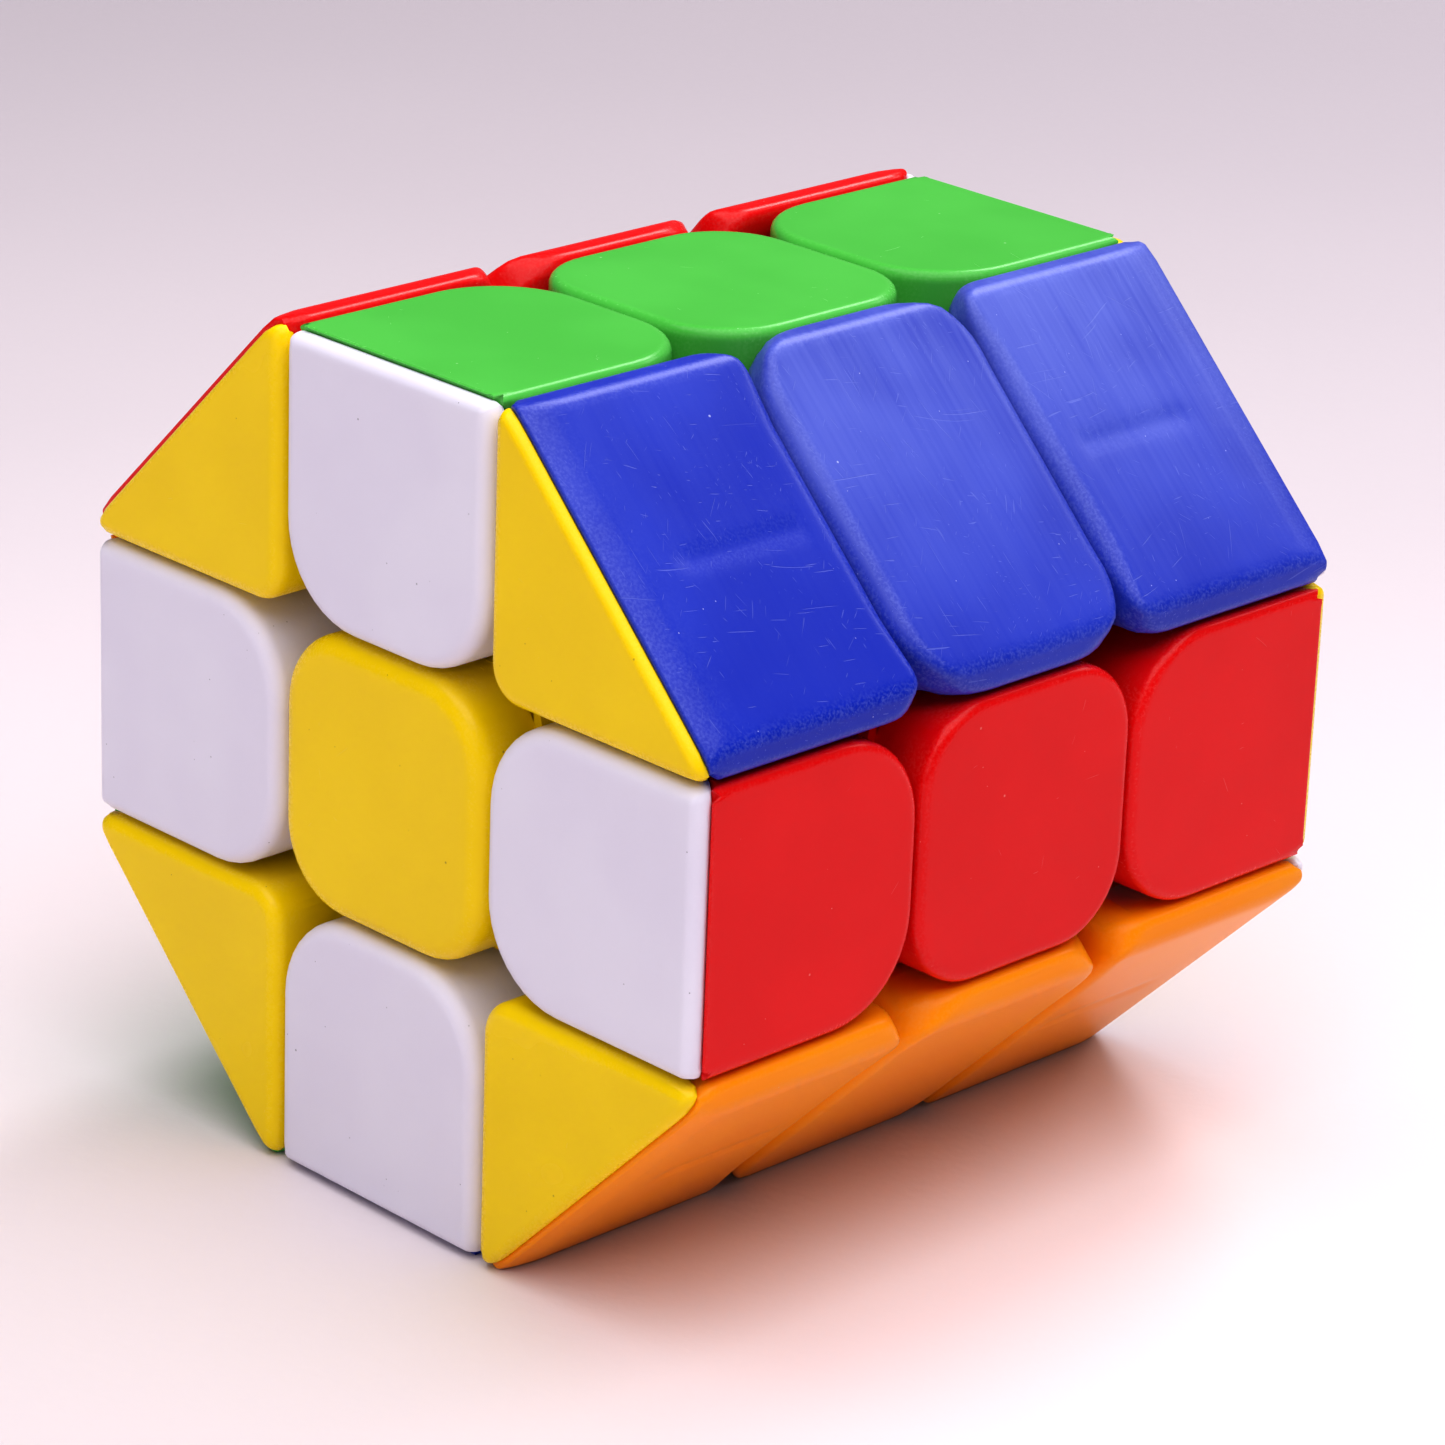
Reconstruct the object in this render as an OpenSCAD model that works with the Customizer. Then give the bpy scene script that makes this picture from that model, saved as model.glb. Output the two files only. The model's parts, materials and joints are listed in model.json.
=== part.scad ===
// Octagonal barrel twisty puzzle: a 3 x 3 x 3 turning mechanism in the shape of an eight-sided prism.
// The origin is the middle of the core, where the six turning axes meet. The prism axis lies along Y.
// The puzzle rests on one of its four flat sides, and the other four sides slant between them.

/* [Outer shape] */
// Width across opposite flat sides, and length from end face to end face
puzzle_size = 57; // [56:0.5:59]
// Distance from the centre to the seams on each side of a middle layer
seam = 9.6; // [9.4:0.1:9.8]
// Half of the running gap between two layers
slip = 0.15; // [0.12:0.01:0.2]

/* [Corner rounding] */
// Inner corners of the shells that meet a centre cap
edge_round = 6.5; // [5:0.5:7]
// Four corners of a centre cap
cap_round = 5.5; // [5:0.5:6]
// Four corners of the middle slanted shells
slant_round = 6; // [5:0.5:6.5]
// Inner corners of the slanted shells on the corner pieces
corner_round = 3; // [2:0.5:3.5]
// Right-angled corner of the end triangles
triangle_round = 2.5; // [2:0.25:3]

/* [Mechanism] */
// Radius of the ball surface that holds the feet down
foot_top = 20; // [19.5:0.1:20.5]
// Radius of the hollow ball inside the feet
foot_bottom = 13; // [12.8:0.1:13.2]
// Distance from the centre to the deep seams between the feet
foot_seam = 6; // [5.8:0.1:6.2]
// Wall of the hollow shells
wall = 1.8; // [1.6:0.1:2]
// Diameter of the pegs that join two halves
peg_d = 3; // [2.6:0.1:3.2]

/* [Centre hardware] */
// Diameter of the screw thread
screw_d = 2.6; // [2.5:0.1:2.8]
// Diameter of the screw head
head_d = 5.4; // [5:0.1:5.6]
// Outer diameter of the spring
spring_d = 6; // [5.8:0.1:6.2]
// Diameter of the spring wire
wire_d = 0.7; // [0.6:0.05:0.8]
// Turns of the spring
spring_turns = 4; // [4:1:5]

/* [Hidden] */
half = puzzle_size / 2;
inner = seam + slip;              // inner faces of the outer layers
middle = seam - slip;             // outer faces of the middle layers
foot_inner = foot_seam + slip;
foot_middle = foot_seam - slip;
foot_ball = foot_top - slip;      // outer radius of the feet
lid_ball = foot_top + slip;       // inner radius of what runs over the feet
hollow_ball = foot_bottom + slip; // inner radius of the feet
flat_half = half * tan(22.5);     // half width of a flat side of the octagon
root2 = sqrt(2);
tip_reach = (inner + half) / root2; // distance from the axis to an end triangle's long edge
slant_half_wide = (half - inner) / root2;
far = 3 * puzzle_size;            // size of a cutting block

peg_high = 3;
peg_clear = 0.05;
peg_apart = 6;
edge_peg_reach = 17.2;            // distance from the axis to an edge's pegs
peg_reach = 17;                   // and to a corner's peg
post_reach = 18.8;                // outside of the post around a corner's peg

cap_floor = half - 5;             // underside of a centre cap
flange_round = 3.2;               // corner radius of the flange under a cap
dimple_d = 3.6;                   // round dimples in the flange, one at each corner
dimple_place = 6.9;
dimple_deep = 0.8;
plug_d = 9;                       // plug under the cap, in the base
plug_bore = plug_d - wall;
plug_deep = 2;
stem_floor = 12.4;                // foot of a centre's stem
stem_top = foot_top + 1;          // inside the flange
well_floor = 14.4;                // seat of the spring
well_d = spring_d + 0.8;
clear_hole_d = screw_d + 0.4;

arm_d = 8;                        // core arms
arm_end = 12.2;
hub_r = 6.5;
screw_tip = 4.5;
spring_top = 18.6;
spring_clear = 0.02;              // between the spring's ends and what they press on
coil_steps = 12;                  // straight pieces in one turn of the spring
wire_sides = 5;
washer_thick = 0.6;
washer_d = 6.2;
washer_bore = screw_d + 0.2;
head_high = 1.8;
cross_wide = 0.8;                 // cross recess in the screw head
cross_long = 3.6;
cross_deep = 1;

shell_floor = half - 5.2;         // underside of a middle slanted shell
shell_plug = 8;                   // square plug under the shell

arc_steps = 8;                    // straight pieces in a quarter of an outline's arc
ball_sides = 96;
round_sides = 64;
bore_sides = 48;
peg_sides = 32;

SIDES = ["top", "right", "bottom", "left"];
SLANTS = ["upper_right", "lower_right", "lower_left", "upper_left"];
ENDS = ["front", "back"];
SIDE_COLOURS = ["limegreen", "crimson", "royalblue", "darkorange"];
SLANT_COLOURS = ["royalblue", "darkorange", "limegreen", "crimson"];
CENTRE_COLOURS = ["gold", "lavender"];
CROSS_COLOURS = ["lavender", "gold"];

// Turns a piece from the top, or from the upper right, to the next side clockwise as seen from the
// front, and mirrors it to the back end
module placed(turn, end = 0) {
    mirror([0, end, 0]) rotate([0, 90 * turn, 0]) children();
}

// Points of one corner of an outline: the corner itself, or an arc that starts at angle start
function corner_points(corner, r, start) =
    r == 0 ? [corner]
    : let (middle_of_arc = corner - r * root2 * [cos(start + 45), sin(start + 45)])
      [for (i = [0:arc_steps]) let (a = start + 90 * i / arc_steps) middle_of_arc + r * [cos(a), sin(a)]];

// Rectangle from low to high, with the corner radii in the order low left, low right, high right, high left
module rounded_plate(low, high, radii) {
    polygon(concat(
        corner_points(low, radii[0], 180),
        corner_points([high[0], low[1]], radii[1], 270),
        corner_points(high, radii[2], 0),
        corner_points([low[0], high[1]], radii[3], 90)
    ));
}

// Square plate about the middle with four equal corners
module square_plate(half_wide, r) {
    rounded_plate([-half_wide, -half_wide], [half_wide, half_wide], [r, r, r, r]);
}

// Block from low to high
module block(low, high) {
    translate(low) cube(high - low);
}

// What an outline in X and Z covers between the end face side y = from and y = to, from < to
module along_y(from, to) {
    translate([0, to, 0]) rotate([90, 0, 0]) linear_extrude(to - from) children();
}

module ball(r) {
    sphere(r, $fn = ball_sides);
}

// Peg that joins two halves, or with a clearance, the socket for it
module peg(clear) {
    cylinder(h = peg_high + 2 * clear, d = peg_d + 2 * clear, center = true, $fn = peg_sides);
}

// Hollow ball between the two foot surfaces, cut down to a block
module foot(low, high) {
    difference() {
        intersection() {
            block(low, high);
            ball(foot_ball);
        }
        ball(hollow_ball);
    }
}

// ---- Edge pieces at the ends: two colours, parted on the plane through the axis at 45 degrees ----

// The half space on the end face's side of the parting plane of a top front edge
module end_side() {
    rotate([45, 0, 0]) block([-far, -far, -far], [far, 0, far]);
}

// The front end half of the top front edge without its peg holes
module edge_half_shape() {
    intersection() {
        union() {
            difference() {
                along_y(-half, -inner)
                    rounded_plate([-middle, inner], [middle, half], [edge_round, edge_round, 0, 0]);
                difference() {
                    ball(lid_ball);
                    block([-foot_middle, -far, 0], [foot_middle, 0, far]);
                }
            }
            foot([-foot_middle, -far, foot_inner], [foot_middle, -foot_inner, far]);
        }
        end_side();
    }
}

// Room inside the half
module edge_half_hollow() {
    r = edge_round - wall;
    difference() {
        intersection() {
            along_y(wall - half, 0)
                rounded_plate([wall - middle, inner + wall], [middle - wall, half - wall], [r, r, 0, 0]);
            end_side();
        }
        ball(lid_ball + wall);
    }
}

// Two pegs across the parting plane, through the foot
module edge_pegs(clear) {
    for (x = [-peg_apart / 2, peg_apart / 2])
        rotate([45, 0, 0]) translate([x, 0, edge_peg_reach]) rotate([90, 0, 0]) peg(clear);
}

module edge_end_half() {
    difference() {
        edge_half_shape();
        edge_half_hollow();
        edge_pegs(peg_clear);
    }
}

module edge_side_half() {
    mirror([0, 1, 1]) difference() {
        edge_half_shape();
        edge_half_hollow();
    }
    intersection() {
        edge_pegs(0);
        end_side();
    }
}

// ---- Corner pieces: an end triangle and a slanted shell, parted at 45 degrees behind the triangle ----

// The upper right part of the octagon in X and Z, outside both middle layers
module octagon_corner() {
    polygon([[inner, inner], [half, inner], [half, flat_half], [flat_half, half], [inner, half]]);
}

// Turns a shape so that its Z axis points square to the upper right slanted side
module to_slant() {
    rotate([0, 45, 0]) children();
}

// The half space on the triangle's side of the parting plane of the front upper right corner
module triangle_side() {
    to_slant() translate([0, -half, tip_reach]) rotate([45, 0, 0]) block([-far, -far, -far], [far, 0, far]);
}

// Foot of the corner
module corner_foot() {
    foot([foot_inner, -far, foot_inner], [far, -foot_inner, far]);
}

// Room inside both halves of the corner, outside the solid post that holds the peg
module corner_hollow() {
    intersection() {
        block([inner + wall, wall - half, inner + wall], [half, -inner - wall, half]);
        to_slant() block([-far, -far, post_reach], [far, 0, half - wall]);
    }
}

// Peg across the parting plane of the corner
module corner_peg(clear) {
    to_slant() translate([0, tip_reach - half - peg_reach, peg_reach]) rotate([-45, 0, 0]) peg(clear);
}

module corner_end_half() {
    difference() {
        intersection() {
            along_y(-half, -inner) intersection() {
                rounded_plate([inner, inner], [half, half], [triangle_round, 0, 0, 0]);
                polygon([[0, 0], [inner + half, 0], [0, inner + half]]);
            }
            triangle_side();
        }
        corner_hollow();
        corner_peg(peg_clear);
    }
}

module corner_slant_half() {
    difference() {
        intersection() {
            along_y(-half, -inner) octagon_corner();
            // inner corners rounded as seen square to the slanted side
            to_slant() linear_extrude(far) rounded_plate(
                [-slant_half_wide, -far], [slant_half_wide, -inner], [0, 0, corner_round, corner_round]);
            // front edge bevelled down to the triangle
            to_slant() translate([0, -half, tip_reach]) rotate([45, 0, 0])
                block([-far, -far, -far], [far, far, 0]);
        }
        triangle_side();
        corner_hollow();
    }
    corner_foot();
    intersection() {
        corner_peg(0);
        triangle_side();
    }
}

// ---- Middle slanted edge pieces: one colour, a shell on a base ----

// Middle slanted piece between two distances from the axis
module slant_body(from, to) {
    intersection() {
        along_y(-middle, middle) octagon_corner();
        to_slant() translate([0, 0, from]) linear_extrude(to - from) rounded_plate(
            [-slant_half_wide, -middle], [slant_half_wide, middle],
            [slant_round, slant_round, slant_round, slant_round]);
    }
}

module slant_edge_shell() {
    slant_body(shell_floor, half);
    to_slant() block([-shell_plug / 2, -shell_plug / 2, shell_floor - plug_deep],
                     [shell_plug / 2, shell_plug / 2, shell_floor]);
}

module slant_edge_base() {
    difference() {
        union() {
            difference() {
                slant_body(0, shell_floor);
                difference() {
                    ball(lid_ball);
                    block([0, -foot_middle, 0], [far, foot_middle, far]);
                }
            }
            foot([foot_inner, -foot_middle, foot_inner], [far, foot_middle, far]);
        }
        to_slant() block([-shell_plug / 2, -shell_plug / 2, shell_floor - plug_deep],
                         [shell_plug / 2, shell_plug / 2, far]);
    }
}

// ---- Centres: a cap on a base that turns on a screw ----

module centre_cap() {
    difference() {
        translate([0, 0, cap_floor]) linear_extrude(half - cap_floor) square_plate(middle, cap_round);
        translate([0, 0, cap_floor]) difference() {
            linear_extrude(half - cap_floor - wall) square_plate(middle - wall, cap_round - wall);
            cylinder(h = half, d = plug_d, $fn = round_sides);
        }
    }
    translate([0, 0, cap_floor - plug_deep]) difference() {
        cylinder(h = plug_deep, d = plug_d, $fn = round_sides);
        cylinder(h = plug_deep, d = plug_bore, $fn = round_sides);
    }
}

module centre_base() {
    difference() {
        union() {
            difference() {
                translate([0, 0, inner]) linear_extrude(cap_floor - inner)
                    square_plate(middle, flange_round);
                ball(lid_ball);
            }
            block([-foot_middle, -foot_middle, stem_floor], [foot_middle, foot_middle, stem_top]);
        }
        translate([0, 0, well_floor]) cylinder(h = half, d = well_d, $fn = round_sides);
        cylinder(h = half, d = clear_hole_d, $fn = bore_sides);
        translate([0, 0, cap_floor - plug_deep]) cylinder(h = half, d = plug_d, $fn = round_sides);
        for (x = [-1, 1]) for (y = [-1, 1])
            translate([x * dimple_place, y * dimple_place, cap_floor - dimple_deep])
                cylinder(h = half, d = dimple_d, $fn = bore_sides);
    }
}

// ---- Core and the hardware on its six arms ----

// Repeats a shape that points up on each of the six turning axes
module on_six_axes() {
    for (turn = [0:3]) rotate([0, 90 * turn, 0]) children();
    for (tilt = [-1, 1]) rotate([90 * tilt, 0, 0]) children();
}

module core() {
    color("whitesmoke") difference() {
        union() {
            ball(hub_r);
            on_six_axes() cylinder(h = arm_end, d = arm_d, $fn = round_sides);
        }
        on_six_axes() translate([0, 0, screw_tip]) cylinder(h = arm_end, d = screw_d, $fn = bore_sides);
    }
}

module screw() {
    head_floor = spring_top + washer_thick;
    difference() {
        union() {
            translate([0, 0, screw_tip])
                cylinder(h = head_floor - screw_tip, d = screw_d, $fn = bore_sides);
            translate([0, 0, head_floor]) cylinder(h = head_high, d = head_d, $fn = round_sides);
        }
        for (a = [0, 90]) rotate([0, 0, a])
            block([-cross_long / 2, -cross_wide / 2, head_floor + head_high - cross_deep],
                  [cross_long / 2, cross_wide / 2, half]);
    }
}

module centre_screws() {
    color("silver") on_six_axes() screw();
}

module screw_washers() {
    color("gainsboro") on_six_axes() translate([0, 0, spring_top]) difference() {
        cylinder(h = washer_thick, d = washer_d, $fn = round_sides);
        cylinder(h = washer_thick, d = washer_bore, $fn = bore_sides);
    }
}

// Compression spring as a swept helix, from the seat in the centre's stem to the washer
module spring() {
    steps = coil_steps * spring_turns;
    low = well_floor + wire_d / 2 + spring_clear;
    high = spring_top - wire_d / 2 - spring_clear;
    mean_r = (spring_d - wire_d) / 2;
    points = [for (i = [0:steps]) let (a = 360 * spring_turns * i / steps)
        for (k = [0:wire_sides - 1]) let (
            b = 360 * k / wire_sides,
            r = mean_r + wire_d / 2 * cos(b)
        ) [r * cos(a), r * sin(a), low + (high - low) * i / steps + wire_d / 2 * sin(b)]];
    walls = [for (i = [0:steps - 1]) for (k = [0:wire_sides - 1]) let (
        n = (k + 1) % wire_sides,
        p = i * wire_sides,
        q = p + wire_sides
    ) [p + k, p + n, q + n, q + k]];
    ends = [[for (k = [wire_sides - 1:-1:0]) k], [for (k = [0:wire_sides - 1]) steps * wire_sides + k]];
    polyhedron(points, concat(walls, ends));
}

module centre_springs() {
    color("silver") on_six_axes() spring();
}

core();
centre_screws();
screw_washers();
centre_springs();

for (s = [0:3]) {
    color(SIDE_COLOURS[s]) placed(s) centre_cap();
    color(SIDE_COLOURS[s]) placed(s) centre_base();
    color(SLANT_COLOURS[s]) placed(s) slant_edge_shell();
    color(SLANT_COLOURS[s]) placed(s) slant_edge_base();
}

for (e = [0:1]) {
    color(CENTRE_COLOURS[e]) placed(0, e) rotate([90, 0, 0]) centre_cap();
    color(CENTRE_COLOURS[e]) placed(0, e) rotate([90, 0, 0]) centre_base();
    for (s = [0:3]) {
        color(CROSS_COLOURS[e]) placed(s, e) edge_end_half();
        color(SIDE_COLOURS[s]) placed(s, e) edge_side_half();
        color(CENTRE_COLOURS[e]) placed(s, e) corner_end_half();
        color(SLANT_COLOURS[s]) placed(s, e) corner_slant_half();
    }
}
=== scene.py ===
"""An eight-sided barrel puzzle of coloured plastic, lying on one of its flat sides."""
import json
import math

import bmesh
import bpy
import numpy as np
from mathutils import Matrix, Vector


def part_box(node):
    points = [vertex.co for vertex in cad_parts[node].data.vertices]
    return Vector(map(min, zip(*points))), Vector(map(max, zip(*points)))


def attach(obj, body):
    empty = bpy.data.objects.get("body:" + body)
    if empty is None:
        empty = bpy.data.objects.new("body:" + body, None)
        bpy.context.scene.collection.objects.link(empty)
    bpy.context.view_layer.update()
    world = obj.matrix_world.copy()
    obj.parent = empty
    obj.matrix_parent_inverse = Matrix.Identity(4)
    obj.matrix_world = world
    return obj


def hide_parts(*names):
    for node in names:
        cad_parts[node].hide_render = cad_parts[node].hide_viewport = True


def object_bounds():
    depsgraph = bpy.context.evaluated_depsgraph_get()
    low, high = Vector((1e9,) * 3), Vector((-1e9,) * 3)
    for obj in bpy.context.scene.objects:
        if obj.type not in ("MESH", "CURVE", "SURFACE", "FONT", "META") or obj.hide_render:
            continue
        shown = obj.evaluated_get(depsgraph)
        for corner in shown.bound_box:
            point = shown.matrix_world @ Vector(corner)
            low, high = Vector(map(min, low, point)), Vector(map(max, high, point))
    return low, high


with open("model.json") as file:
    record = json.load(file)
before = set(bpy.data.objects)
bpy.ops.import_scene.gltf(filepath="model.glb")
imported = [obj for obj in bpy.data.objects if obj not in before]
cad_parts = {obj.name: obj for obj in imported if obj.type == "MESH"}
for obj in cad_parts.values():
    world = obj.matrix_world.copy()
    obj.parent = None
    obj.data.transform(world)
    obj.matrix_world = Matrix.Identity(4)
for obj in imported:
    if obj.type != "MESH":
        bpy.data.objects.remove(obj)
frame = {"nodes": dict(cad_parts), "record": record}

bpy.context.view_layer.update()
cad_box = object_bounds()

# ---- Names and main dimensions, from the frame, in millimetres ----

MM = 0.001
ROOT2 = math.sqrt(2)
SIDES = ("top", "right", "bottom", "left")
SLANTS = ("upper_right", "lower_right", "lower_left", "upper_left")
ENDS = ("front", "back")

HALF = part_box("top_centre_cap")[1].z / MM     # from the middle to a flat side, and to an end face
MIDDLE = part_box("top_centre_cap")[1].x / MM   # half width of the pieces of a middle layer
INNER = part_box("front_upper_right_corner_end_half")[0].x / MM   # from the middle to an outer layer's pieces
TIP = (INNER + HALF) / ROOT2          # from the axis to the long edge of a packed end triangle
SLANT_WIDE = (HALF - INNER) / ROOT2   # half width of a slanted piece

# ---- Roundings of the skins, in millimetres ----

# Plan radii of the corners
CAP_CORNER = 5.5
EDGE_CORNER = 6.5
TRIANGLE_CORNER = 2.5
SLAB_CORNER = 3
SHELL_CORNER = 6

# Radii along the edges
SIDE_CAP_ROUND = 0.7
END_CAP_ROUND = 1.4
SIDE_HALF_ROUND = 0.7
END_HALF_ROUND = 1.1
TRIANGLE_ROUND = 1.0
CORNER_ROLL = 1.1      # of an end face over to a flat side
TRIANGLE_ROLL = 0.9    # of an end face over to a slanted side
TRIANGLE_TIP = 1.3     # of a triangle's two sharp corners, in plan
STRIP_BLEND = 0.45     # of a slanted face into its strips
SLAB_ROUND = 1.4       # of a slanted piece, along its ends
STRIP_ROUND = 0.55     # of a slanted piece, round its strips
STRIP_FROM = 7         # where the first of those two starts to turn into the second, from the face's middle
STRIP_OVER = 4.5       # and the width over which it does
SLAB_SEAM = 0.3
SEAM_ROUND = 0.14
SEAM_TIP = 1.0         # of an edge half's corners beside its seam

# The end halves' skins wrap round the rim of the end face, on to the sides
RIM = HALF - 0.45      # from the axis to a triangle's skin
RIM_DEEP = 0.6         # of that skin's edge, behind the end face
RIM_TILT = math.radians(17)   # of a slanted face down to that edge
WRAP = 1.0             # of an edge's end half on to its flat side

# Sink mark across a corner's slanted face, over the peg's post
SINK_DEEP = 0.12
SINK_WIDE = 0.8
SINK_FROM = -23.5
SINK_FADE = 2

# ---- How the skins are made, in millimetres ----

# Depth of each kind of skin
CAP_SKIN = 4
EDGE_SKIN = 4.5
TRIANGLE_SKIN = 2.4
SLAB_SKIN = 5
SHELL_SKIN = 4.5

# Each point of a skin is sought outwards from a place this far in from the plan's edge and below the face
INSET = 3
BELOW = 1.5
CAP_BELOW = 2
TRIANGLE_INSET = 2.3
TRIANGLE_BELOW = 1

# How far the points at a skin's lower end are sought from, past the part's plan corner or middle
EDGE_HEART = (INNER + HALF) / 2 - 2
TRIANGLE_HEART = INNER + 3.5
SLAB_HEART = -(HALF + INNER) / 2 + 2

TOP_STEPS = (1, 0.8, 0.62, 0.5, 0.4, 0.32, 0.25, 0.18, 0.12, 0.08, 0.05, 0.025, 0)   # shares of the inset
WALL_STEPS = (0.07, 0.14, 0.21, 0.3, 0.45, 0.6, 0.8, 1.0, 1.25, 1.5, 1.9, 2.4)       # below the face
LAST_WALL = 0.3        # least height of the lowest wall step over the lower end
ARC_STEPS = 10
SPACING = 1.5          # of points along a straight side
LEAST_CORNER = 0.3
OVER = 0.01
FLARE = 0.5            # how far past the edge the lowest points are sought, as a share of the inset
HALVINGS = 40

WELD = 1e-3
ON_PLANE = 1e-4
COPLANAR = math.radians(0.5)
SHARP = math.radians(35)

# Swaps a top front edge's end half with its side half
SWAP = Matrix(((1, 0, 0, 0), (0, 0, -1, 0), (0, -1, 0, 0), (0, 0, 0, 1)))

# The directions of a plan and of its outside: of an end face, and of the upper right slanted side
TO_END = ((1, 0, 0), (0, 0, 1), (0, -1, 0))
TO_SLANT = ((-1 / ROOT2, 0, 1 / ROOT2), (0, 1, 0), (1 / ROOT2, 0, 1 / ROOT2))
UPRIGHT = ((1, 0, 0), (0, 1, 0), (0, 0, 1))

# ---- Wear, and haze with painted sheen ----

WORN_ANGLE = 16        # degrees from the flat sides at which an edge is fully worn
ACROSS_AXES = (-1, 0, 1)
FLAT_SIDES = [Vector((i, j, k)).normalized() for i in ACROSS_AXES for j in ACROSS_AXES for k in ACROSS_AXES
              if 0 < abs(i) + abs(j) + abs(k) < 3]
FLAT_SIDES.append(Vector((1, -ROOT2, 1)).normalized())   # the middle of a triangle's roll counts as flat

HAZE_AND_SHEEN_MIDDLE = 0.62     # haze and painted sheen halfway across a slanted face, and how much more painted sheen there is at its upper edge, where the light falls
PAINTED_SHEEN_RISE = 0.5
LEAST_HAZE_AND_SHEEN = 0.1
ABOVE_CUT = 0.1        # wear starts this far above the skin's lower end
OTHER_HAZE_AND_SHEEN = 0.1   # share of the haze and painted sheen on all but these pieces, which catch more of the light
PIECE_HAZE_AND_SHEEN = {"upper_right_edge_shell": 0.45, "back_upper_right_corner_slant_half": 0.5,
           "lower_left_edge_shell": 0.3, "back_lower_left_corner_slant_half": 0.4}

SHIFTS = np.random.default_rng(7)   # moves each piece's marks, so that no two are marked alike
FURTHEST_SHIFT = 500


# ---- Plastic parts: each has a rounded outer skin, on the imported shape's own inside ----

def soft_max(distances, radius):
    """Joins half spaces, given as distances outside their planes, with a rounding where they meet"""
    distances = np.stack(distances)
    over = np.clip(distances + radius, 0, None)
    joined = np.sqrt((over ** 2).sum(axis=0)) - radius
    return np.where(over.any(axis=0), joined, distances.max(axis=0))


def outline(corners, inset):
    """Matching points round a plan and round the same plan inset. Each corner is (across, along, radius)"""
    rings = []
    for shrink in (inset, 0):
        ring = []
        points = [Vector(c[:2]) for c in corners]
        for i, (_, _, radius) in enumerate(corners):
            corner, before, after = points[i], points[i - 1], points[(i + 1) % len(points)]
            to_before, to_after = (before - corner).normalized(), (after - corner).normalized()
            half_angle = to_before.angle(to_after) / 2
            inward = (to_before + to_after).normalized()
            corner = corner + inward * shrink / math.sin(half_angle)
            radius = max(radius - shrink, LEAST_CORNER)
            middle = corner + inward * radius / math.sin(half_angle)
            start = corner + to_before * radius / math.tan(half_angle) - middle
            turn = (math.pi - 2 * half_angle) * math.copysign(1, to_after.cross(to_before))
            for step in range(ARC_STEPS + 1):
                ring.append((i, middle + Matrix.Rotation(turn * step / ARC_STEPS, 2) @ start))
        filled = []
        for (i, here), (j, there) in zip(ring, ring[1:] + ring[:1]):
            filled.append(here)
            if i != j:
                sharp = (Vector(corners[i][:2]) - Vector(corners[j][:2])).length
                extra = int(sharp / SPACING)
                filled += [here.lerp(there, (k + 1) / (extra + 1)) for k in range(extra)]
        rings.append(filled)
    return rings


def skin(outside, axes, corners, low, inset, below, heart):
    """The outer skin of a part as rings of points, from the flat of its face, over the rim and down the
    wall. outside gives the distance outside the part, axes are its plan's two directions and its outward
    one, and each point is found between a place inside and one on or past the sharp edge. heart is the
    place inside for the lowest points."""
    across, along, outward = (np.array(a, float) for a in axes)

    def place(point, height):
        return across * point[0] + along * point[1] + outward * height

    inner, outer = outline(corners, inset)
    inside, beyond = [], []
    for near, far in zip(inner, outer):
        for share in TOP_STEPS:
            inside.append(place(near, HALF - below))
            beyond.append(place(far.lerp(near, share), HALF + OVER))
        for down in WALL_STEPS:
            if down < HALF - low - LAST_WALL:
                inside.append(place(near, HALF - below))
                beyond.append(place(far, HALF - down))
        inside.append(place(heart, low))
        beyond.append(place(far.lerp(near, -FLARE), low))
    inside, beyond = np.array(inside), np.array(beyond)
    for _ in range(HALVINGS):
        half_way = (inside + beyond) / 2
        out = outside(half_way.T)[:, None] > 0
        inside, beyond = np.where(out, inside, half_way), np.where(out, half_way, beyond)
    return inside.reshape(len(inner), -1, 3)


def add_skin(shape, rings):
    """Adds the skin's faces to a shape, closed at the top and at its lower end"""
    grid = [[shape.verts.new(point) for point in column] for column in rings]
    made = []
    for here, there in zip(grid, grid[1:] + grid[:1]):
        for k in range(len(here) - 1):
            made.append(shape.faces.new((here[k], here[k + 1], there[k + 1], there[k])))
    face = shape.faces.new([column[0] for column in grid])
    made += [face, shape.faces.new([column[-1] for column in reversed(grid)])]
    bmesh.ops.recalc_face_normals(shape, faces=made)
    return face


def inside_of(node, outward, low, swapped):
    """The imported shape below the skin, in its home place, in millimetres"""
    shape = bmesh.new()
    shape.from_mesh(frame["nodes"][node].data)
    bmesh.ops.scale(shape, vec=(1 / MM,) * 3, verts=shape.verts)
    bmesh.ops.remove_doubles(shape, verts=shape.verts, dist=WELD)
    if swapped:
        shape.transform(SWAP)
        bmesh.ops.reverse_faces(shape, faces=shape.faces)
    everything = shape.verts[:] + shape.edges[:] + shape.faces[:]
    bmesh.ops.bisect_plane(shape, geom=everything, dist=ON_PLANE, plane_co=Vector(outward) * low,
                           plane_no=outward, clear_outer=True)
    open_edges = [edge for edge in shape.edges if edge.is_boundary]
    bmesh.ops.triangle_fill(shape, edges=open_edges, use_beauty=True)
    bmesh.ops.dissolve_limit(shape, angle_limit=COPLANAR, verts=shape.verts[:], edges=shape.edges[:])
    return shape


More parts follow.
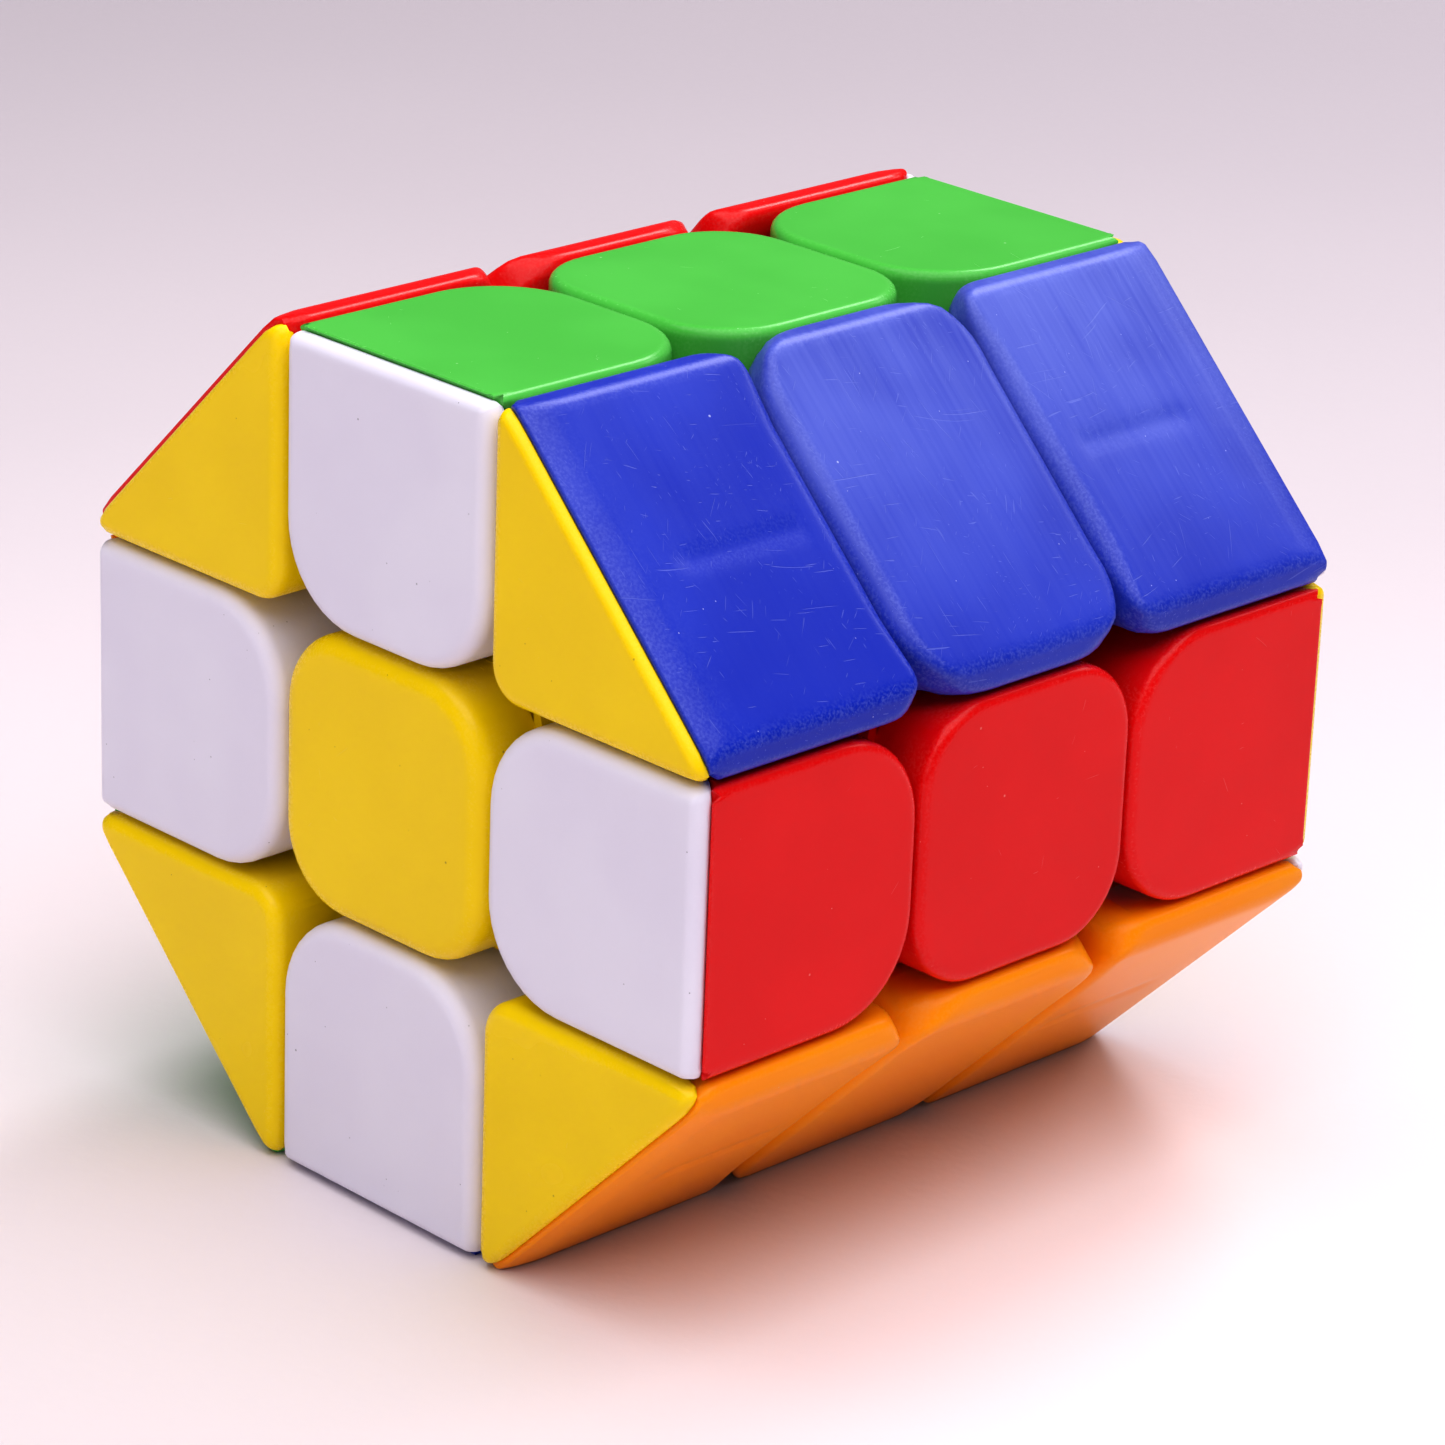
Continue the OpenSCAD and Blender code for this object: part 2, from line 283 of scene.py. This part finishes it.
def write_grain(shape, axes, low):
    """Keeps three facts at each point for the materials: its place along the part's own directions in
    millimetres, how far its skin is turned away from the flat sides, as on a worn edge, and how much haze
    and painted sheen it would have on the piece with the most, more towards a slanted face's upper edge,
    where the light falls"""
    grain = shape.verts.layers.float_vector.new("grain")
    wear = shape.verts.layers.float.new("edge_wear")
    haze = shape.verts.layers.float.new("haze")
    axes = [Vector(axis) for axis in axes]
    shape.normal_update()
    for vert in shape.verts:
        vert[grain] = [axis.dot(vert.co) for axis in axes]
        # Haze with painted sheen: paler towards a slanted face's upper edge, where the light falls
        vert[haze] = min(1, max(LEAST_HAZE_AND_SHEEN, HAZE_AND_SHEEN_MIDDLE + PAINTED_SHEEN_RISE * axes[0].dot(vert.co) / SLANT_WIDE))
        if axes[2].dot(vert.co) > low + ABOVE_CUT:
            turned = math.degrees(math.acos(min(1, max(vert.normal.dot(flat) for flat in FLAT_SIDES))))
            vert[wear] = min(1, turned / WORN_ANGLE)


def sink_mark(shape, face, axes):
    """Lets a corner's slanted face sink along a line, over the post inside it"""
    across, along, outward = (Vector(axis) for axis in axes)
    cuts = [(across, side * SINK_WIDE * k / 4) for k in range(1, 10) for side in (-1, 1)] + [(across, 0)]
    cuts += [(along, SINK_FROM + SINK_FADE * k / 4) for k in range(5)]
    geometry = [face] + face.edges[:] + face.verts[:]
    for direction, cut in cuts:
        geometry = bmesh.ops.bisect_plane(shape, geom=geometry, dist=ON_PLANE, plane_co=direction * cut,
                                          plane_no=direction)["geom"]
    for vert in [item for item in geometry if isinstance(item, bmesh.types.BMVert)]:
        reached = min(1, max(0, (along.dot(vert.co) - SINK_FROM) / SINK_FADE))
        depth = SINK_DEEP * math.exp(-(across.dot(vert.co) / SINK_WIDE) ** 2)
        vert.co -= outward * depth * reached ** 2 * (3 - 2 * reached)


def moulding(node, outside, axes, corners, low, inset=INSET, below=BELOW, heart=(0, 0)):
    """A home part's mesh in millimetres. An edge's side half is made as an end half and swapped over"""
    swapped = node.endswith("side_half")
    shape = inside_of(node, axes[2], low, swapped)
    face = add_skin(shape, skin(outside, axes, corners, low, inset, below, heart))
    if node.endswith("slant_half"):
        sink_mark(shape, face, axes)
    write_grain(shape, axes, low)
    if swapped:
        shape.transform(SWAP)
        bmesh.ops.reverse_faces(shape, faces=shape.faces)
    mesh = bpy.data.meshes.new(node)
    shape.to_mesh(mesh)
    shape.free()
    return mesh


def centre_cap(node, face_round):
    """The top centre piece's cap, at home on the top side"""
    def outside(p):
        wall = soft_max([abs(p[0]) - MIDDLE, abs(p[1]) - MIDDLE], CAP_CORNER)
        return soft_max([p[2] - HALF, wall], face_round)

    corners = [(a * MIDDLE, b * MIDDLE, CAP_CORNER) for a, b in ((-1, -1), (1, -1), (1, 1), (-1, 1))]
    return moulding(node, outside, UPRIGHT, corners, HALF - CAP_SKIN, below=CAP_BELOW)


def edge_half(node, face_round):
    """One half of an end edge piece, as the top front end half"""
    def outside(p):
        wall = soft_max([abs(p[0]) - MIDDLE, INNER - p[2]], EDGE_CORNER)
        plan = soft_max([wall, p[2] - HALF], SEAM_TIP)
        face = soft_max([-p[1] - HALF, p[2] - HALF], CORNER_ROLL)
        down, back = p[1] + HALF, p[2] - HALF
        if node.endswith("side_half"):
            seam = EDGE_SKIN * (back + WRAP) + (EDGE_SKIN - WRAP) * down
        else:
            seam = EDGE_SKIN * (down - WRAP) + (EDGE_SKIN - WRAP) * back
        return soft_max([soft_max([face, plan], face_round), seam / (ROOT2 * EDGE_SKIN)], SEAM_ROUND)

    corners = [(-MIDDLE, INNER, EDGE_CORNER), (MIDDLE, INNER, EDGE_CORNER),
               (MIDDLE, HALF, 0), (-MIDDLE, HALF, 0)]
    return moulding(node, outside, TO_END, corners, HALF - EDGE_SKIN, heart=(0, EDGE_HEART))


def rim_seam(reach, deep):
    """Distance past the face where a corner's end half meets its slant half, near the end face"""
    rise = RIM - (TIP - TRIANGLE_SKIN)
    run = TRIANGLE_SKIN - RIM_DEEP
    return (run * (reach - RIM) + rise * (deep - RIM_DEEP)) / math.hypot(rise, run)


def corner_end_half(node):
    """The triangle of the front upper right corner"""
    def outside(p):
        wall = soft_max([INNER - p[0], INNER - p[2]], TRIANGLE_CORNER)
        reach = (p[0] + p[2]) / ROOT2
        face = soft_max([-p[1] - HALF, reach - RIM], TRIANGLE_ROLL)
        plan = soft_max([wall, reach - RIM, p[0] - HALF, p[2] - HALF], TRIANGLE_TIP)
        return soft_max([soft_max([face, plan], TRIANGLE_ROUND), rim_seam(reach, p[1] + HALF)], SEAM_ROUND)

    tip = RIM * ROOT2 - INNER
    corners = [(INNER, INNER, TRIANGLE_CORNER), (tip, INNER, 0), (INNER, tip, 0)]
    return moulding(node, outside, TO_END, corners, HALF - TRIANGLE_SKIN, TRIANGLE_INSET, TRIANGLE_BELOW,
                (TRIANGLE_HEART, TRIANGLE_HEART))


def slanted_outside(p, ends, corner, is_corner):
    """Distance outside a slanted piece. ends holds the distances past its square ends"""
    x, y, z = p
    reach = (x + z) / ROOT2
    across = (z - x) / ROOT2
    surfaces = [reach - HALF, x - HALF, z - HALF]
    if is_corner:
        surfaces.append(math.cos(RIM_TILT) * (reach - RIM) - math.sin(RIM_TILT) * (y + HALF - RIM_DEEP))
    wall = soft_max([abs(across) - SLANT_WIDE] + ends, corner)
    share = np.clip((abs(across) - STRIP_FROM) / STRIP_OVER, 0, 1)
    radius = SLAB_ROUND + (STRIP_ROUND - SLAB_ROUND) * share
    body = soft_max([soft_max(surfaces, STRIP_BLEND), wall], radius)
    body = soft_max([body, INNER - x, INNER - z], STRIP_ROUND)
    if is_corner:
        body = soft_max([body, -(reach - TIP + y + HALF) / ROOT2, -rim_seam(reach, y + HALF)], SLAB_SEAM)
    return body


def corner_slant_half(node):
    """The slab of the front upper right corner"""
    def outside(p):
        return slanted_outside(p, [p[1] + INNER], SLAB_CORNER, True)

    corners = [(-SLANT_WIDE, -HALF, 0), (SLANT_WIDE, -HALF, 0),
               (SLANT_WIDE, -INNER, SLAB_CORNER), (-SLANT_WIDE, -INNER, SLAB_CORNER)]
    return moulding(node, outside, TO_SLANT, corners, HALF - SLAB_SKIN, heart=(0, SLAB_HEART))


def edge_shell(node):
    """The shell of the upper right edge"""
    def outside(p):
        return slanted_outside(p, [p[1] - MIDDLE, -MIDDLE - p[1]], SHELL_CORNER, False)

    corners = [(a * SLANT_WIDE, b * MIDDLE, SHELL_CORNER) for a, b in ((-1, -1), (1, -1), (1, 1), (-1, 1))]
    return moulding(node, outside, TO_SLANT, corners, HALF - SHELL_SKIN)


def plain_part(node):
    """A part that hides under its cap or shell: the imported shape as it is"""
    above_all = 2 * HALF
    shape = inside_of(node, UPRIGHT[2], above_all, False)
    write_grain(shape, UPRIGHT, above_all)
    mesh = bpy.data.meshes.new(node)
    shape.to_mesh(mesh)
    shape.free()
    return mesh


def placing(turn, end=0):
    """Takes a home shape in millimetres to its place in the frame"""
    turned = Matrix.Rotation(math.radians(90 * turn), 4, "Y") @ Matrix.Scale(MM, 4)
    return Matrix.Scale(-1, 4, (0, 1, 0)) @ turned if end else turned


def place(mesh, node, matrix, body, slot):
    """Puts a copy of a home mesh in its place, instead of its node"""
    mine = mesh.copy()
    mine.name = node + "_moulding"
    mine.transform(matrix)
    if matrix.determinant() < 0:
        mine.flip_normals()
    grain = mine.attributes["grain"].data
    places = np.empty(len(grain) * 3)
    grain.foreach_get("vector", places)
    grain.foreach_set("vector", places + np.tile(SHIFTS.uniform(0, FURTHEST_SHIFT, 3), len(grain)))
    # Scales the haze and painted sheen by the piece: the pieces that catch more of the light get more
    haze = mine.attributes["haze"].data
    amounts = np.empty(len(haze))
    haze.foreach_get("value", amounts)
    haze.foreach_set("value", amounts * PIECE_HAZE_AND_SHEEN.get(node, OTHER_HAZE_AND_SHEEN))
    mine.materials.clear()
    mine.materials.append(MATERIALS[slot])
    mine.shade_smooth()
    mine.set_sharp_from_angle(angle=SHARP)
    piece = bpy.data.objects.new(node + "_moulding", mine)
    bpy.context.scene.collection.objects.link(piece)
    shading = piece.modifiers.new("shading", "WEIGHTED_NORMAL")
    shading.keep_sharp = True
    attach(piece, body)
    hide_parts(node)


# ---- Materials ----

class Nodes:
    """Adds nodes to a new material, and returns their outputs"""

    def __init__(self, name):
        self.material = bpy.data.materials.new(name)
        self.material.use_nodes = True
        self.tree = self.material.node_tree
        self.shader = self.tree.nodes["Principled BSDF"]

    def add(self, kind, inputs, output=0, **settings):
        node = self.tree.nodes.new("ShaderNode" + kind)
        for name, value in settings.items():
            setattr(node, name, value)
        for name, value in inputs.items():
            self.set(node, name, value)
        return node.outputs[output]

    def set(self, node, name, value):
        if isinstance(value, bpy.types.NodeSocket):
            self.tree.links.new(value, node.inputs[name])
        else:
            node.inputs[name].default_value = value

    def math(self, operation, a, b=0.0, clamp=False):
        return self.add("Math", {0: a, 1: b}, operation=operation, use_clamp=clamp)

    def noise(self, place, scale, detail=2.0, output=0):
        return self.add("TexNoise", {"Vector": place, "Scale": scale, "Detail": detail}, output)

    def stretched(self, place, turn, scale):
        """Coordinates turned in the part's plan, then scaled. Small numbers stretch what they draw"""
        turned = self.add("Mapping", {"Vector": place, "Rotation": (0, 0, math.radians(turn))})
        return self.add("Mapping", {"Vector": turned, "Scale": scale})

    def between(self, value, low, high):
        """0 up to low, 1 from high, smooth between"""
        return self.add("MapRange", {"Value": value, "From Min": low, "From Max": high},
                        interpolation_type="SMOOTHSTEP")

    def tint(self, amount, below, above):
        """A colour that goes from below to above. Each is a colour or a socket"""
        node = self.tree.nodes.new("ShaderNodeMix")
        node.data_type = "RGBA"
        self.set(node, 0, amount)
        for place, colour in ((6, below), (7, above)):
            self.set(node, place, colour if isinstance(colour, bpy.types.NodeSocket) else (*colour, 1))
        return node.outputs[2]

    def bumps(self, *layers):
        """A normal from layers of (height, distance in millimetres)"""
        normal = None
        for height, distance in layers:
            inputs = {"Height": height, "Distance": distance * MM}
            if normal:
                inputs["Normal"] = normal
            normal = self.add("Bump", inputs)
        return normal


# Highest and lowest noise at which a scratch shows in full and not at all, before its share is taken off
SCRATCH_FULL = 0.92
SCRATCH_NONE = 0.88

SCRATCH_SHARE = 0.085   # taken off on a fully scratched plastic
SCRATCHES = ((14, 5, 0.11), (-41, 4, 0.09), (78, 7, 0.13))   # degrees, length and width in millimetres
SCRATCH_BEND = (2.5, 2.5, 2.5)
DUST = ((2.6, 0.11), (1.2, 0.06))   # spacing and radius in millimetres
DOT_CORE = 0.4          # share of a dot's radius in which it is fully there

# How strongly each kind of mark shows in the colour
SCRATCH_TINT = 0.17
DUST_TINT = 0.6

# How much each adds to the roughness
FILM_ROUGH = 0.15
CLOUD_ROUGH = 0.08
MARKS_ROUGH = 0.35

# Depths of the bumps, in millimetres
CLOUD_DEEP = 0.08
GRAIN_DEEP = 0.0025
SCRATCH_DEEP = 0.006
DUST_DEEP = 0.01


def hairlines(nodes, place, turn, length, width, share):
    """Fine scratches: the peaks of a noise that is stretched along one direction"""
    field = nodes.noise(nodes.stretched(place, turn, (1 / length, 1 / width, 1 / width)), 1.0, 0.0)
    return nodes.between(field, SCRATCH_NONE - share, SCRATCH_FULL - share)


def specks(nodes, place, spacing, radius, share):
    """Sparse dots, in some of the cells of a grid with random middles"""
    cells = nodes.tree.nodes.new("ShaderNodeTexVoronoi")
    nodes.set(cells, "Vector", place)
    nodes.set(cells, "Scale", 1 / spacing)
    reach = radius / spacing
    off_dot = nodes.between(cells.outputs["Distance"], DOT_CORE * radius / spacing, reach)
    dot = nodes.math("SUBTRACT", 1.0, off_dot)
    chosen = nodes.math("LESS_THAN", nodes.add("SeparateColor", {0: cells.outputs["Color"]}), share)
    return nodes.math("MULTIPLY", dot, chosen)


def plastic(name, colour, deep, pale, speck,
            gloss=0.26, shine=0.2, haze=0.0, scratched=0.0, specked=0.3, worn=0.1):
    """Moulded plastic. deep and pale are what its colour wanders to, pale being also the tint of the painted
    sheen, speck is the colour of dust in it, and the last four say how much haze with painted sheen it has,
    and how scratched, specked and worn at the edges it is"""
    nodes = Nodes(name)
    place = nodes.add("Attribute", {}, "Vector", attribute_name="grain")
    wear = nodes.add("Attribute", {}, "Fac", attribute_name="edge_wear")
    # Share of haze and painted sheen at each point
    haze_and_sheen_share = nodes.add("Attribute", {}, "Fac", attribute_name="haze")

    cloud = nodes.noise(place, 0.09, 2.0)
    streak = nodes.noise(nodes.stretched(place, 0, (0.05, 2.6, 2.6)), 1.0, 2.0)
    wander = nodes.noise(place, 0.12, 0.0, "Color")
    bend = nodes.add("VectorMath", {0: wander, 1: SCRATCH_BEND}, operation="MULTIPLY")
    bent = nodes.add("VectorMath", {0: place, 1: bend}, operation="ADD")
    first, second, third = (hairlines(nodes, bent, *sizes, SCRATCH_SHARE * scratched) for sizes in SCRATCHES)
    scratches = nodes.math("MAXIMUM", nodes.math("MAXIMUM", first, second), third)
    coarse, fine = (specks(nodes, place, *sizes, specked) for sizes in DUST)
    dust = nodes.math("MAXIMUM", coarse, fine)
    rubbed = nodes.math("MULTIPLY", wear, nodes.between(nodes.noise(place, 5.0, 2.0), 0.35, 0.75))

    shade = nodes.tint(nodes.between(cloud, 0.35, 0.7), deep, colour)
    # Haze film with streaks, together with painted sheen: a pale tint where the pieces catch the light
    film_and_sheen = nodes.between(nodes.math("ADD", nodes.math("MULTIPLY", streak, 0.5), cloud), 0.1, 1.2)
    film_and_sheen = nodes.math("MULTIPLY", nodes.math("MULTIPLY", film_and_sheen, haze), haze_and_sheen_share)
    shade = nodes.tint(film_and_sheen, shade, pale)
    scratch_tint = nodes.math("MULTIPLY", scratches, SCRATCH_TINT)
    marks = nodes.math("MAXIMUM", scratch_tint, nodes.math("MULTIPLY", rubbed, worn))
    shade = nodes.tint(marks, shade, pale)
    shade = nodes.tint(nodes.math("MULTIPLY", dust, DUST_TINT), shade, speck)
    nodes.set(nodes.shader, "Base Color", shade)

    rough = nodes.math("ADD", nodes.math("MULTIPLY", film_and_sheen, FILM_ROUGH),
                       nodes.math("MULTIPLY", cloud, CLOUD_ROUGH))
    rough = nodes.math("ADD", rough, nodes.math("MULTIPLY", marks, MARKS_ROUGH))
    nodes.set(nodes.shader, "Roughness", nodes.math("ADD", rough, gloss - 0.04, clamp=True))
    nodes.set(nodes.shader, "Specular IOR Level", shine)
    nodes.set(nodes.shader, "Normal", nodes.bumps(
        (cloud, CLOUD_DEEP), (nodes.noise(place, 2.2, 1.0), GRAIN_DEEP),
        (nodes.math("SUBTRACT", 1.0, scratches), SCRATCH_DEEP), (dust, DUST_DEEP)))
    return nodes.material


def metal(name, colour, rough, brushed_along):
    """Plated steel with fine marks along one axis"""
    nodes = Nodes(name)
    place = nodes.add("TexCoord", {}, "Object")
    marks = nodes.noise(nodes.add("Mapping", {"Vector": place, "Scale": brushed_along}), 1.0, 4.0)
    stains = nodes.noise(place, 400.0, 3.0)
    dull = [c * 0.72 for c in colour]
    nodes.set(nodes.shader, "Base Color", nodes.tint(nodes.between(stains, 0.35, 0.7), dull, colour))
    nodes.set(nodes.shader, "Metallic", 1.0)
    nodes.set(nodes.shader, "Roughness", nodes.math("ADD", nodes.math("MULTIPLY", marks, 0.25), rough - 0.1))
    nodes.set(nodes.shader, "Normal", nodes.bumps((marks, 0.01)))
    return nodes.material


def dull_plastic(name, colour):
    """Plain moulded plastic of the core, with grease stains"""
    nodes = Nodes(name)
    place = nodes.add("TexCoord", {}, "Object")
    grease = nodes.between(nodes.noise(place, 250.0, 4.0), 0.45, 0.7)
    stained = [c * 0.8 for c in colour]
    nodes.set(nodes.shader, "Base Color", nodes.tint(grease, colour, stained))
    nodes.set(nodes.shader, "Roughness", nodes.math("SUBTRACT", 0.55, nodes.math("MULTIPLY", grease, 0.25)))
    nodes.set(nodes.shader, "Normal", nodes.bumps((nodes.noise(place, 2500.0, 3.0), 0.02)))
    return nodes.material


PAINTED_SHADE_SPAN = (-0.04, 0.34)     # painted shade of the table, darkening from level with the object to behind it, in metres


def table_sheet(name, near, far):
    """Pale smooth board with a faint grain, with painted shade: darker towards the back, where less light
    falls
    """
    nodes = Nodes(name)
    place = nodes.add("TexCoord", {}, "Object")
    depth = nodes.tree.nodes.new("ShaderNodeSeparateXYZ")
    nodes.set(depth, 0, place)
    grain = nodes.noise(place, 900.0, 3.0)
    cloud = nodes.math("MULTIPLY", nodes.noise(place, 9.0, 2.0), 0.06)
    # Painted shade: the board darkens towards the back, with a cloudy edge
    painted_shade = nodes.between(nodes.math("ADD", depth.outputs["Y"], cloud), *PAINTED_SHADE_SPAN)
    nodes.set(nodes.shader, "Base Color", nodes.tint(painted_shade, near, far))
    nodes.set(nodes.shader, "Roughness", nodes.math("ADD", nodes.math("MULTIPLY", grain, 0.15), 0.55))
    nodes.set(nodes.shader, "Specular IOR Level", 0.2)
    nodes.set(nodes.shader, "Normal", nodes.bumps((grain, 0.03)))
    return nodes.material


def from_srgb(r, g, b):
    """Linear colour of a colour in screen values up to 255"""
    return tuple(c / 12.92 if c <= 0.04045 else ((c + 0.055) / 1.055) ** 2.4
                 for c in (r / 255, g / 255, b / 255))


def coloured(name, *colours, **amounts):
    """Plastic in four screen colours: its own, deep, pale and speck"""
    return plastic(name, *(from_srgb(*colour) for colour in colours), **amounts)


MATERIALS = {
    "yellow": coloured("yellow", (254, 219, 0), (250, 214, 0), (255, 224, 90), (150, 110, 30)),
    "white": coloured("white", (236, 233, 247), (232, 228, 244), (246, 240, 252), (84, 82, 96),
                      gloss=0.34, specked=0.6),
    "green": coloured("green", (86, 193, 78), (80, 186, 72), (160, 230, 150), (190, 235, 180), gloss=0.24),
    "red": coloured("red", (234, 8, 12), (228, 4, 8), (240, 120, 116), (245, 150, 140), gloss=0.24),
    # The blue is tinted pale by a haze film and by painted sheen
    "blue": coloured("blue", (0, 42, 184), (0, 36, 174), (150, 165, 232), (196, 204, 240), gloss=0.32,
                     shine=0.3, haze=0.8, scratched=1.0, specked=0.45, worn=0.16),
    "orange": coloured("orange", (255, 156, 0), (255, 150, 0), (255, 190, 110), (255, 205, 160), gloss=0.3,
                       shine=0.15),
    "core_plastic": dull_plastic("core_plastic", from_srgb(225, 225, 220)),
    "steel": metal("steel", from_srgb(205, 205, 208), 0.3, (600, 600, 600)),
    "spring_steel": metal("spring_steel", from_srgb(170, 170, 175), 0.34, (900, 900, 900)),
}


# ---- All the parts ----

HOME = {
    "centre_cap": centre_cap("top_centre_cap", SIDE_CAP_ROUND),
    "end_centre_cap": centre_cap("top_centre_cap", END_CAP_ROUND),
    "centre_base": plain_part("top_centre_base"),
    "edge_end_half": edge_half("front_top_edge_end_half", END_HALF_ROUND),
    "edge_side_half": edge_half("front_top_edge_side_half", SIDE_HALF_ROUND),
    "corner_end_half": corner_end_half("front_upper_right_corner_end_half"),
    "corner_slant_half": corner_slant_half("front_upper_right_corner_slant_half"),
    "edge_shell": edge_shell("upper_right_edge_shell"),
    "edge_base": plain_part("upper_right_edge_base"),
}

SLOT_OF = {row["node"]: row["material_slot"] for row in frame["record"]["subparts"]}
BODY_OF = {node: body for body, nodes in frame["record"]["behaviour"]["bodies"].items() for node in nodes}


def place_part(kind, node, matrix):
    place(HOME[kind], node, matrix, BODY_OF[node], SLOT_OF[node])


for turn in range(4):
    for part in ("cap", "base"):
        place_part("centre_" + part, f"{SIDES[turn]}_centre_{part}", placing(turn))
    for part in ("shell", "base"):
        place_part("edge_" + part, f"{SLANTS[turn]}_edge_{part}", placing(turn))
for end in (0, 1):
    to_end = placing(0, end) @ Matrix.Rotation(math.radians(90), 4, "X")
    for part, kind in (("cap", "end_centre_cap"), ("base", "centre_base")):
        place_part(kind, f"{ENDS[end]}_centre_{part}", to_end)
    for turn in range(4):
        for part in ("end_half", "side_half"):
            place_part("edge_" + part, f"{ENDS[end]}_{SIDES[turn]}_edge_{part}", placing(turn, end))
        for part in ("end_half", "slant_half"):
            place_part("corner_" + part, f"{ENDS[end]}_{SLANTS[turn]}_corner_{part}", placing(turn, end))

for node in ("core", "centre_screws", "screw_washers", "centre_springs"):
    cad = frame["nodes"][node]
    cad.data.materials.clear()
    cad.data.materials.append(MATERIALS[SLOT_OF[node]])

# ---- Stage ----

# The sheet's sizes in metres, from below the object
FLOOR = cad_box[0].z
SHEET_REACH = 3.0      # forwards, to both sides and up
BEND_FROM = 0.9
BEND_RADIUS = 0.6
BEND_STEPS = 16


def floor_and_backdrop():
    """A pale sheet that runs back from the table and curves up behind"""
    profile = [(-SHEET_REACH, 0.0), (-1.0, 0.0), (0.4, 0.0), (BEND_FROM, 0.0)]
    profile += [(BEND_FROM + BEND_RADIUS * math.sin(a), BEND_RADIUS * (1 - math.cos(a)))
                for a in (math.pi / 2 * i / BEND_STEPS for i in range(1, BEND_STEPS + 1))]
    profile += [(BEND_FROM + BEND_RADIUS, SHEET_REACH)]
    mesh = bpy.data.meshes.new("floor")
    shape = bmesh.new()
    rows = []
    for y, z in profile:
        rows.append([shape.verts.new((x, y, z)) for x in (-SHEET_REACH, SHEET_REACH)])
    for low, high in zip(rows, rows[1:]):
        shape.faces.new((low[0], low[1], high[1], high[0]))
    shape.to_mesh(mesh)
    shape.free()
    mesh.shade_smooth()
    sheet = bpy.data.objects.new("floor", mesh)
    bpy.context.scene.collection.objects.link(sheet)
    sheet.location.z = FLOOR
    sheet.rotation_euler.z = math.radians(45)
    # The far colour is the board in painted shade
    mesh.materials.append(table_sheet("floor", from_srgb(231, 222, 226), from_srgb(190, 182, 189)))


floor_and_backdrop()


def area_light(name, place, size, power, colour):
    """A rectangular light that points at the object"""
    light = bpy.data.lights.new(name, "AREA")
    light.shape = "RECTANGLE"
    light.size, light.size_y = size
    light.energy = power
    light.color = colour
    lamp = bpy.data.objects.new(name, light)
    bpy.context.scene.collection.objects.link(lamp)
    lamp.location = place
    lamp.rotation_euler = (-Vector(place)).to_track_quat("-Z", "Y").to_euler()


area_light("overhead", (0.15, -0.08, 0.7), (1.0, 1.0), 9.6, (1.0, 0.97, 0.99))
area_light("back_highlight", (-0.2, 0.6, 0.66), (0.3, 0.3), 3, (1.0, 0.98, 1.0))
area_light("back_haze", (0.13, 0.7, 0.49), (0.3, 0.25), 0.9, (0.97, 0.97, 1.0))
area_light("front_fill", (0.3, -0.8, 0.3), (0.7, 0.4), 0.9, (0.98, 0.98, 1.0))

world = bpy.data.worlds.new("studio")
world.use_nodes = True
background = world.node_tree.nodes["Background"]
background.inputs["Color"].default_value = (1.0, 0.95, 0.97, 1)
background.inputs["Strength"].default_value = 0.09
bpy.context.scene.world = world
bpy.context.scene.view_settings.view_transform = "Standard"
bpy.context.scene.view_settings.gamma = 0.85

# ---- Camera ----

# Found by fitting a pinhole camera to the corners and seams in the photo.
# DISTANCE and PAN are in metres, LENS and SENSOR in millimetres
AZIMUTH = math.radians(45.151)
ELEVATION = math.radians(21.508)
ROLL = math.radians(2.1345)
DISTANCE = 0.3621
PAN = (0.000943, -0.001739)
LENS = 137.9
SENSOR = 36

back = Vector((math.cos(ELEVATION) * math.sin(AZIMUTH),
               -math.cos(ELEVATION) * math.cos(AZIMUTH),
               math.sin(ELEVATION)))
level = Vector((0, 0, 1)).cross(back).normalized()
upright = back.cross(level)
right = math.cos(ROLL) * level + math.sin(ROLL) * upright
up = math.cos(ROLL) * upright - math.sin(ROLL) * level
camera_data = bpy.data.cameras.new("camera")
camera_data.lens = LENS
camera_data.sensor_width = SENSOR
camera_data.clip_start = 0.01
camera = bpy.data.objects.new("camera", camera_data)
bpy.context.scene.collection.objects.link(camera)
eye = back * DISTANCE + right * PAN[0] + up * PAN[1]
camera.matrix_world = Matrix((
    (right.x, up.x, back.x, eye.x),
    (right.y, up.y, back.y, eye.y),
    (right.z, up.z, back.z, eye.z),
    (0, 0, 0, 1),
))
bpy.context.scene.camera = camera
